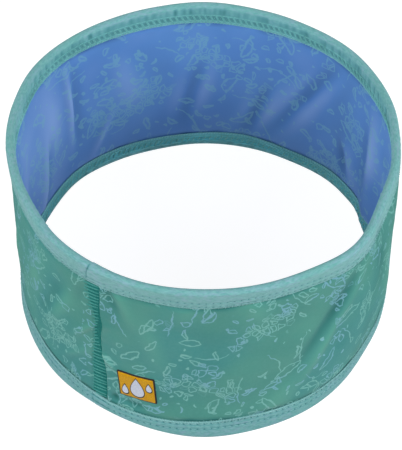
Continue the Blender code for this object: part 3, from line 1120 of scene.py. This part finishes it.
class Cloth:
    """One material and short ways to add its nodes."""

    def __init__(self, name, roughness, sheen=0.0, tint=(1.0, 1.0, 1.0)):
        self.material = bpy.data.materials.new(name)
        self.material.use_nodes = True
        self.tree = self.material.node_tree
        self.shader = self.tree.nodes["Principled BSDF"]
        looks = {"Roughness": roughness, "Sheen Weight": sheen, "Sheen Tint": (*tint, 1.0)}
        fill(self.shader.inputs, {**looks, "Specular IOR Level": 0.2})

    def node(self, kind, inputs, output=0, **settings):
        """Adds a node. inputs maps socket names or numbers to values or to other nodes' outputs."""
        made = self.tree.nodes.new(kind)
        for key, value in settings.items():
            setattr(made, key, value)
        for key, value in inputs.items():
            if isinstance(value, bpy.types.NodeSocket):
                self.tree.links.new(value, made.inputs[key])
            else:
                made.inputs[key].default_value = value
        return made.outputs[output]

    def math(self, operation, first, second=0.0, third=0.0):
        """A sum or other operation on values."""
        return self.node("ShaderNodeMath", {0: first, 1: second, 2: third}, operation=operation)

    def product(self, first, *others):
        """The product of two or more values."""
        for other in others:
            first = self.math("MULTIPLY", first, other)
        return first

    def inverse(self, value):
        """1 less the value."""
        return self.math("SUBTRACT", 1.0, value)

    def vector(self, operation, first, second=(0.0, 0.0, 0.0)):
        """An operation on two vectors."""
        return self.node("ShaderNodeVectorMath", {0: first, 1: second}, operation=operation)

    def turned(self, place, angle):
        """The place, turned about the origin of the flat cloth."""
        return self.node("ShaderNodeVectorRotate", {"Vector": place, "Angle": angle}, rotation_type="Z_AXIS")

    def parts(self, value, colour=False):
        """The three parts of a vector or a colour."""
        kind = "ShaderNodeSeparateColor" if colour else "ShaderNodeSeparateXYZ"
        return self.node(kind, {0: value}).node.outputs[:3]

    def ramp(self, value, low, high):
        """0 at low and 1 at high, smooth between."""
        span = {"Value": value, "From Min": low, "From Max": high}
        return self.node("ShaderNodeMapRange", span, interpolation_type="SMOOTHSTEP")

    def blend(self, share, first, second):
        """A mix of two colours, each of three parts or from another node."""
        first, second = ((*c, 1.0) if isinstance(c, tuple) else c for c in (first, second))
        return self.node("ShaderNodeMix", {"Factor": share, 6: first, 7: second}, 2, data_type="RGBA")

    def cloth_mm(self):
        """Places on the flat cloth, in millimetres: x around the loop and y up."""
        uv = self.node("ShaderNodeUVMap", {}, uv_map="cloth")
        return self.vector("MULTIPLY", uv, (1000.0, 1000.0, 1000.0))

    def solid_mm(self):
        """Places in space, in millimetres."""
        place = self.node("ShaderNodeTexCoord", {}, "Object")
        return self.vector("MULTIPLY", place, (1000.0, 1000.0, 1000.0))

    def noise(self, place, size, detail=2.0, stretch=(1.0, 1.0, 1.0)):
        """Noise of a size in millimetres, 0 to 1."""
        scaled = self.vector("DIVIDE", place, tuple(size * k for k in stretch))
        return self.node("ShaderNodeTexNoise", {"Vector": scaled, "Scale": 1.0, "Detail": detail})

    def draws(self, square):
        """Three random numbers, 0 to 1, for each square of a grid."""
        noise = self.node("ShaderNodeTexWhiteNoise", {"Vector": square}, 1, noise_dimensions="2D")
        return self.parts(noise, colour=True)

    def shade(self, name):
        """The value that the mesh holds under this name."""
        return self.node("ShaderNodeAttribute", {}, "Fac", attribute_name=name)

    def toned(self, colour, dim, dark, light):
        """The colour with painted shading from the mesh: painted shade colours dim at -0.5 and dark at -1,
        and the painted highlight colour light at 1.
        """
        tone = self.shade("tone")
        below = self.product(tone, -2.0)
        far_below = self.math("SUBTRACT", below, 1.0)
        colour = self.blend(self.math("MAXIMUM", below, 0.0), colour, dim)
        colour = self.blend(self.math("MAXIMUM", far_below, 0.0), colour, dark)
        return self.blend(self.math("MAXIMUM", tone, 0.0), colour, light)

    def finish(self, colour, height=None, depth=0.1):
        """Joins colour and relief to the shader. depth is the relief's height in millimetres."""
        self.tree.links.new(colour, self.shader.inputs["Base Color"])
        if height is not None:
            bumps = {"Height": height, "Distance": depth * MM, "Strength": 1.0}
            raised = self.node("ShaderNodeBump", bumps)
            self.tree.links.new(raised, self.shader.inputs["Normal"])
        return self.material


# The printed motifs: outlines of leaves and pebbles, flecks and long blades of grass, each kind scattered on
# a grid of its own. Lengths are mm. Columns: cell, the grid's turn in degrees, shift, half length as a share
# of the cell, slimness of the slimmest and of the fullest, roundness of the ends (1 pointed, 0.5 round), line
# (0 where solid), share drawn, and how far the motifs keep to clusters.
MOTIFS = (
    (19.0, 24.0, 3.1, 0.34, 0.22, 0.40, 0.9, 0.60, 0.55, 0.0),
    (11.5, -17.0, 7.7, 0.34, 0.20, 0.46, 0.8, 0.58, 0.55, 0.4),
    (7.6, 41.0, 1.3, 0.34, 0.20, 0.50, 0.8, 0.52, 0.58, 0.8),
    (5.4, 9.0, 5.5, 0.35, 0.18, 0.55, 0.8, 0.48, 0.72, 1.1),
    (4.6, -35.0, 2.2, 0.22, 0.20, 0.50, 0.8, 0.00, 0.24, 0.4),
    (33.0, -8.0, 9.1, 0.36, 0.010, 0.020, 0.8, 0.00, 0.55, 0.0),
    (21.0, 58.0, 4.4, 0.36, 0.013, 0.026, 0.8, 0.00, 0.50, 0.3),
)
CLUSTER_SIZE = 30.0


def motif_ink(cloth, place, motif, widen):
    """One kind of motif, 0 to 1. widen is added to its lines."""
    cell, grid_turn, shift, half, slim_low, slim_high, ends, line, drawn, clustered = motif
    grid = cloth.vector("DIVIDE", cloth.turned(place, math.radians(grid_turn)), (cell, cell, cell))
    grid = cloth.vector("ADD", grid, (shift, shift * 1.7, 0.0))
    square = cloth.vector("FLOOR", grid)
    offset_x, offset_y, form_draw = cloth.draws(square)
    angle_draw, size_draw, shown_draw = cloth.draws(cloth.vector("ADD", square, (31.0, 17.0, 0.0)))
    middle = cloth.node("ShaderNodeCombineXYZ", {0: offset_x, 1: offset_y})
    middle = cloth.vector("SUBTRACT", middle, (0.5, 0.5, 0.0))
    middle = cloth.vector("MULTIPLY", middle, (0.26, 0.26, 0.0))
    middle = cloth.vector("ADD", middle, (0.5, 0.5, 0.0))
    local = cloth.vector("SUBTRACT", cloth.vector("FRACTION", grid), middle)
    angle = cloth.math("MULTIPLY_ADD", cloth.math("SUBTRACT", angle_draw, 0.5), 2.6, math.radians(-28.0))
    x, y, _ = cloth.parts(cloth.turned(local, angle))
    long_half = cloth.math("MULTIPLY_ADD", size_draw, half * 0.45, half * 0.55)
    along = cloth.math("DIVIDE", x, long_half)
    squared = cloth.product(along, along)
    bend = cloth.product(cloth.math("SUBTRACT", form_draw, 0.5), squared, half * 0.7)
    inside = cloth.math("MAXIMUM", cloth.inverse(squared), 0.0)
    slim = cloth.math("MULTIPLY_ADD", form_draw, slim_high - slim_low, slim_low)
    envelope = cloth.product(cloth.math("POWER", inside, ends), slim, long_half)
    off_axis = cloth.math("ABSOLUTE", cloth.math("ADD", y, bend))
    beyond = cloth.product(cloth.math("SUBTRACT", off_axis, envelope), cell)
    if line:
        beyond = cloth.math("ABSOLUTE", beyond)
    reach = (line + widen) / 2 if line else 0.12 + widen / 4
    ink = cloth.inverse(cloth.ramp(beyond, reach - 0.14, reach + 0.14))
    tip = cloth.inverse(cloth.ramp(cloth.math("ABSOLUTE", along), 0.97, 1.05))
    shown = cloth.inverse(cloth.ramp(shown_draw, drawn, drawn + 0.01))
    centre = cloth.vector("MULTIPLY", square, (cell / CLUSTER_SIZE, cell / CLUSTER_SIZE, 0.0))
    cluster = cloth.node("ShaderNodeTexNoise", {"Vector": centre, "Scale": 1.0, "Detail": 0.0})
    level = 0.22 + 0.30 * clustered
    return cloth.product(ink, tip, shown, cloth.ramp(cluster, level, level + 0.02))


def pebble_ink(cloth, place, widen):
    """Outlines of pebbles packed close together in patches, 0 to 1."""
    cell = 3.1
    scaled = {"Vector": cloth.vector("DIVIDE", place, (cell, cell, 1.0)), "Scale": 1.0, "Randomness": 0.85}
    settings = {"voronoi_dimensions": "2D"}
    edge = cloth.node("ShaderNodeTexVoronoi", scaled, "Distance", feature="DISTANCE_TO_EDGE", **settings)
    centre = cloth.node("ShaderNodeTexVoronoi", scaled, "Position", feature="F1", **settings)
    off_line = cloth.math("ABSOLUTE", cloth.math("SUBTRACT", edge, 0.15))
    half = (0.42 + widen) / 2 / cell
    line = cloth.inverse(cloth.ramp(off_line, half - 0.03, half + 0.03))
    spread = cloth.vector("MULTIPLY", centre, (0.16, 0.16, 0.0))
    patch = cloth.node("ShaderNodeTexNoise", {"Vector": spread, "Scale": 1.0})
    some = cloth.node("ShaderNodeTexWhiteNoise", {"Vector": centre}, 0, noise_dimensions="2D")
    shown = cloth.inverse(cloth.ramp(some, 0.72, 0.73))
    return cloth.product(line, shown, cloth.ramp(patch, 0.575, 0.58))


def print_ink(cloth, place, widen=0.0):
    """The whole print, 0 to 1."""
    fine = cloth.vector("DIVIDE", place, (3.0, 3.0, 1.0))
    wobble = cloth.node("ShaderNodeTexNoise", {"Vector": fine, "Scale": 1.0}, 1)
    moved = cloth.vector("ADD", place, cloth.vector("MULTIPLY", wobble, (2.3, 2.3, 0.0)))
    total = 0.0
    for motif in MOTIFS:
        total = cloth.math("MAXIMUM", motif_ink(cloth, moved, motif, widen), total)
    total = cloth.math("MAXIMUM", pebble_ink(cloth, moved, widen / 2), total)
    worn = cloth.math("MULTIPLY_ADD", cloth.noise(place, 4.0, 2.0), 0.9, 0.5)
    return cloth.product(total, cloth.math("MINIMUM", worn, 1.0))


def weave(cloth, place, pitch):
    """A plain weave's relief, 0 to 1, with threads a pitch apart in millimetres."""
    x, y, _ = cloth.parts(place)
    waves = [cloth.math("SINE", cloth.product(axis, TAU / pitch)) for axis in (x, y)]
    return cloth.math("MULTIPLY_ADD", cloth.product(*waves), 0.5, 0.5)


def shell_material():
    """The printed shell: two near teals, with painted shading of the folds and rims, under the whole print.
    """
    cloth = Cloth("shell_cloth", roughness=0.60, sheen=0.08, tint=(0.9, 1.0, 1.0))
    place = cloth.cloth_mm()
    mottle = cloth.ramp(cloth.noise(place, 40.0, 2.0), 0.35, 0.65)
    colour = cloth.blend(mottle, (0.056, 0.275, 0.268), (0.074, 0.292, 0.246))
    fine = cloth.product(cloth.ramp(cloth.noise(place, 1.2, 3.0), 0.3, 0.8), 0.16)
    colour = cloth.blend(fine, colour, (0.12, 0.37, 0.33))
    # Painted shade and highlight colours, by the mesh's painted shading
    colour = cloth.toned(colour, (0.040, 0.215, 0.200), (0.014, 0.130, 0.120), (0.125, 0.41, 0.320))
    tint = cloth.ramp(cloth.noise(place, 17.0, 1.0), 0.48, 0.60)
    ink = cloth.blend(tint, (0.185, 0.470, 0.435), (0.185, 0.430, 0.530))
    colour = cloth.blend(print_ink(cloth, place), colour, ink)
    height = cloth.math("MULTIPLY_ADD", weave(cloth, place, 0.55), 0.25, cloth.noise(place, 2.2, 3.0))
    return cloth.finish(colour, height, 0.09)


def lining_material():
    """The blue lining, with painted shading of its folds and rims, and the print showing through it faintly.
    """
    cloth = Cloth("lining_cloth", roughness=0.80, sheen=0.02, tint=(0.8, 0.9, 1.0))
    place = cloth.cloth_mm()
    mottle = cloth.ramp(cloth.noise(place, 36.0, 2.0), 0.35, 0.65)
    colour = cloth.blend(mottle, (0.076, 0.202, 0.495), (0.087, 0.227, 0.525))
    # Painted shade and highlight colours, by the mesh's painted shading
    colour = cloth.toned(colour, (0.060, 0.165, 0.395), (0.030, 0.105, 0.280), (0.190, 0.325, 0.620))
    elsewhere = cloth.vector("ADD", place, (230.0, 15.0, 0.0))
    share = cloth.product(print_ink(cloth, elsewhere, 0.30), 0.50)
    colour = cloth.blend(share, colour, (0.150, 0.38, 0.46))
    height = cloth.math("MULTIPLY_ADD", weave(cloth, place, 0.45), 0.2, cloth.noise(place, 2.5, 3.0))
    return cloth.finish(colour, height, 0.08)


def binding_material():
    """A heathered tape with fine ribs along it, a painted shade tint on its inner flaps, and painted shading.
    """
    cloth = Cloth("binding_tape", roughness=0.85, sheen=0.12, tint=(0.7, 1.0, 1.0))
    place = cloth.cloth_mm()
    ribs = cloth.noise(place, 0.62, 2.0, (2.4, 1.0, 1.0))
    flecks = cloth.noise(place, 0.95, 3.0, (2.4, 1.0, 1.0))
    patches = cloth.noise(place, 9.0, 2.0)
    colour = cloth.blend(cloth.ramp(ribs, 0.34, 0.66), (0.144, 0.376, 0.384), (0.203, 0.474, 0.464))
    lilac = cloth.product(cloth.ramp(flecks, 0.40, 0.62), cloth.ramp(patches, 0.32, 0.58), 0.85)
    colour = cloth.blend(lilac, colour, (0.250, 0.425, 0.515))
    green = cloth.ramp(cloth.noise(place, 26.0, 1.0, (1.0, 4.0, 1.0)), 0.45, 0.65)
    colour = cloth.blend(cloth.product(green, 0.35), colour, (0.145, 0.430, 0.375))
    mottle = cloth.ramp(cloth.noise(place, 1.5, 3.0, (1.6, 1.2, 1.0)), 0.44, 0.66)
    colour = cloth.blend(cloth.product(mottle, 0.26), colour, (0.080, 0.290, 0.290))
    # Painted shade tint on the inner flaps, a deeper teal
    colour = cloth.blend(cloth.product(cloth.shade("inside"), 0.88), colour, (0.074, 0.500, 0.580))
    # Painted shade and highlight colours, by the mesh's painted shading
    colour = cloth.toned(colour, (0.088, 0.290, 0.310), (0.020, 0.150, 0.160), (0.330, 0.620, 0.610))
    height = cloth.math("ADD", cloth.product(ribs, 0.8), cloth.noise(place, 0.8, 2.0))
    return cloth.finish(colour, height, 0.15)


def plain_material(name, dark, light, size=0.5, roughness=0.75):
    """A thread or band: two near colours mixed by fine noise of a size in mm."""
    cloth = Cloth(name, roughness, sheen=0.05)
    grain = cloth.noise(cloth.solid_mm(), size, 3.0)
    colour = cloth.blend(cloth.ramp(grain, 0.3, 0.7), dark, light)
    return cloth.finish(colour, grain, 0.05)


def label_material(name, dark, light):
    """A satin label weave with fine ribs across it."""
    cloth = Cloth(name, roughness=0.55)
    place = cloth.cloth_mm()
    grain = cloth.noise(place, 0.35, 2.0, (1.0, 2.5, 1.0))
    colour = cloth.blend(cloth.ramp(grain, 0.3, 0.7), dark, light)
    height = cloth.math("MULTIPLY_ADD", weave(cloth, place, 0.42), 0.5, grain)
    return cloth.finish(colour, height, 0.05)


# Threads and the label's weaves. Columns: name, darker and lighter colour.
THREADS = (
    ("stitch_thread", (0.19, 0.44, 0.44), (0.27, 0.54, 0.54)),
    ("looper_thread", (0.12, 0.41, 0.41), (0.19, 0.51, 0.50)),
    ("seam_thread", (0.040, 0.266, 0.242), (0.080, 0.350, 0.318)),
)
LABEL_COLOURS = (
    ("label_dark", (0.018, 0.016, 0.018), (0.045, 0.032, 0.028)),
    ("label_amber", (0.56, 0.275, 0.004), (0.69, 0.368, 0.006)),
    ("label_pale", (0.535, 0.565, 0.695), (0.66, 0.705, 0.815)),
)


def make_materials():
    """All materials, by short names."""
    made = {"shell": shell_material(), "lining": lining_material(), "binding": binding_material()}
    for name, dark, light in THREADS:
        made[name] = plain_material(name, dark, light)
    made["seam_band"] = plain_material("seam_band", (0.006, 0.156, 0.141), (0.016, 0.223, 0.198), 0.8, 0.8)
    for name, dark, light in LABEL_COLOURS:
        made[name] = label_material(name, dark, light)
    return made


# Stage, camera and light

# The photograph's frame, in pixels: its height, its middle, its optical centre and the focal length
FRAME_HEIGHT = 450.0
FRAME_MIDDLE = (201.0, 225.0)
OPTICAL_CENTRE = (202.07, 223.86)
FOCAL_PIXELS = 1766.3
CAMERA_DISTANCE = 0.675
CAMERA_ELEVATION = 46.108
CAMERA_ROLL = 0.726
LOOK_AT = (-0.00055, -0.00748, 0.03825)
SENSOR = 36.0

# Soft lights. Columns: name, place in metres, watts.
LIGHTS = (
    ("left", (-1.1, 0.0, 0.45), 5.4),
    ("right", (1.1, 0.0, 0.45), 6.6),
    ("back", (0.0, 1.1, 0.75), 4.2),
    ("front_left", (-0.8, -0.8, 0.7), 11.0),
    ("front_right", (0.8, -0.8, 0.7), 11.8),
    ("under", (0.0, 0.0, -0.7), 5.7),
)
LIGHT_SIZE = 0.8
FLOOR_HALF = 4.0
WHITE = (1.0, 1.0, 1.0, 1.0)
LIT_POINT = (0.0, 0.0, 0.04)


def make_camera():
    """The photograph's view."""
    camera = bpy.data.cameras.new("camera")
    camera.sensor_fit = "VERTICAL"
    camera.sensor_height = SENSOR
    camera.lens = FOCAL_PIXELS / FRAME_HEIGHT * SENSOR
    camera.shift_x = (FRAME_MIDDLE[0] - OPTICAL_CENTRE[0]) / FRAME_HEIGHT
    camera.shift_y = (OPTICAL_CENTRE[1] - FRAME_MIDDLE[1]) / FRAME_HEIGHT
    camera.clip_start = 0.01
    elevation = math.radians(CAMERA_ELEVATION)
    forward = Vector((0.0, math.cos(elevation), -math.sin(elevation)))
    up = Vector((0.0, math.sin(elevation), math.cos(elevation)))
    turn = Matrix((Vector((1.0, 0.0, 0.0)), up, -forward)).transposed()
    roll = Matrix.Rotation(math.radians(CAMERA_ROLL), 3, "Z")
    place = Matrix.Translation(Vector(LOOK_AT) - forward * CAMERA_DISTANCE)
    bpy.context.scene.camera = placed("camera", camera, place @ (turn @ roll).to_4x4())


def make_floor():
    """A white floor that glows a little, as on a light table, and throws no light on the collar."""
    mesh = bpy.data.meshes.new("floor")
    corners = [(x * FLOOR_HALF, y * FLOOR_HALF, 0) for x, y in ((-1, -1), (1, -1), (1, 1), (-1, 1))]
    mesh.from_pydata(corners, [], [(0, 1, 2, 3)])
    material = bpy.data.materials.new("floor")
    material.use_nodes = True
    grey = {"Base Color": (0.22, 0.22, 0.22, 1.0), "Roughness": 0.9, "Specular IOR Level": 0.0}
    glow = {"Emission Color": WHITE, "Emission Strength": 0.93}
    fill(material.node_tree.nodes["Principled BSDF"].inputs, {**grey, **glow})
    mesh.materials.append(material)
    floor = placed("floor", mesh)
    floor.visible_diffuse = False
    floor.visible_glossy = False
    floor.visible_shadow = False


def area_light(name, place, power):
    """A round soft light that points at the collar."""
    light = bpy.data.lights.new(name, "AREA")
    light.shape = "DISK"
    light.size = LIGHT_SIZE
    light.energy = power
    turn = (Vector(LIT_POINT) - Vector(place)).to_track_quat("-Z", "Y").to_matrix().to_4x4()
    placed(name, light, Matrix.Translation(place) @ turn)


def make_light():
    """White all round for the camera, and soft lights for the collar."""
    world = bpy.data.worlds.new("studio")
    world.use_nodes = True
    fill(world.node_tree.nodes["Background"].inputs, {"Color": WHITE, "Strength": 1.0})
    world.cycles_visibility.diffuse = False
    world.cycles_visibility.glossy = False
    bpy.context.scene.world = world
    for row in LIGHTS:
        area_light(*row)
    bpy.context.scene.view_settings.view_transform = "Standard"


def main():
    """Makes every piece and sets the stage."""
    materials = make_materials()
    shell = make_layer("shell_cloth", True, "outer_shell", materials["shell"])
    lining = make_layer("lining_cloth", False, "inner_lining", materials["lining"])
    for node, upper, seed, join in BINDINGS:
        tape = make_binding(node, upper, seed, join, materials["binding"])
        needle = needle_stitches(node + "_needle_stitches", upper, materials["stitch_thread"])
        looper = looper_stitches(node + "_looper_stitches", upper, materials["looper_thread"])
    seam = make_seam(materials["seam_band"], materials["seam_thread"])
    label = make_label(materials)
    make_floor()
    make_camera()
    make_light()


main()
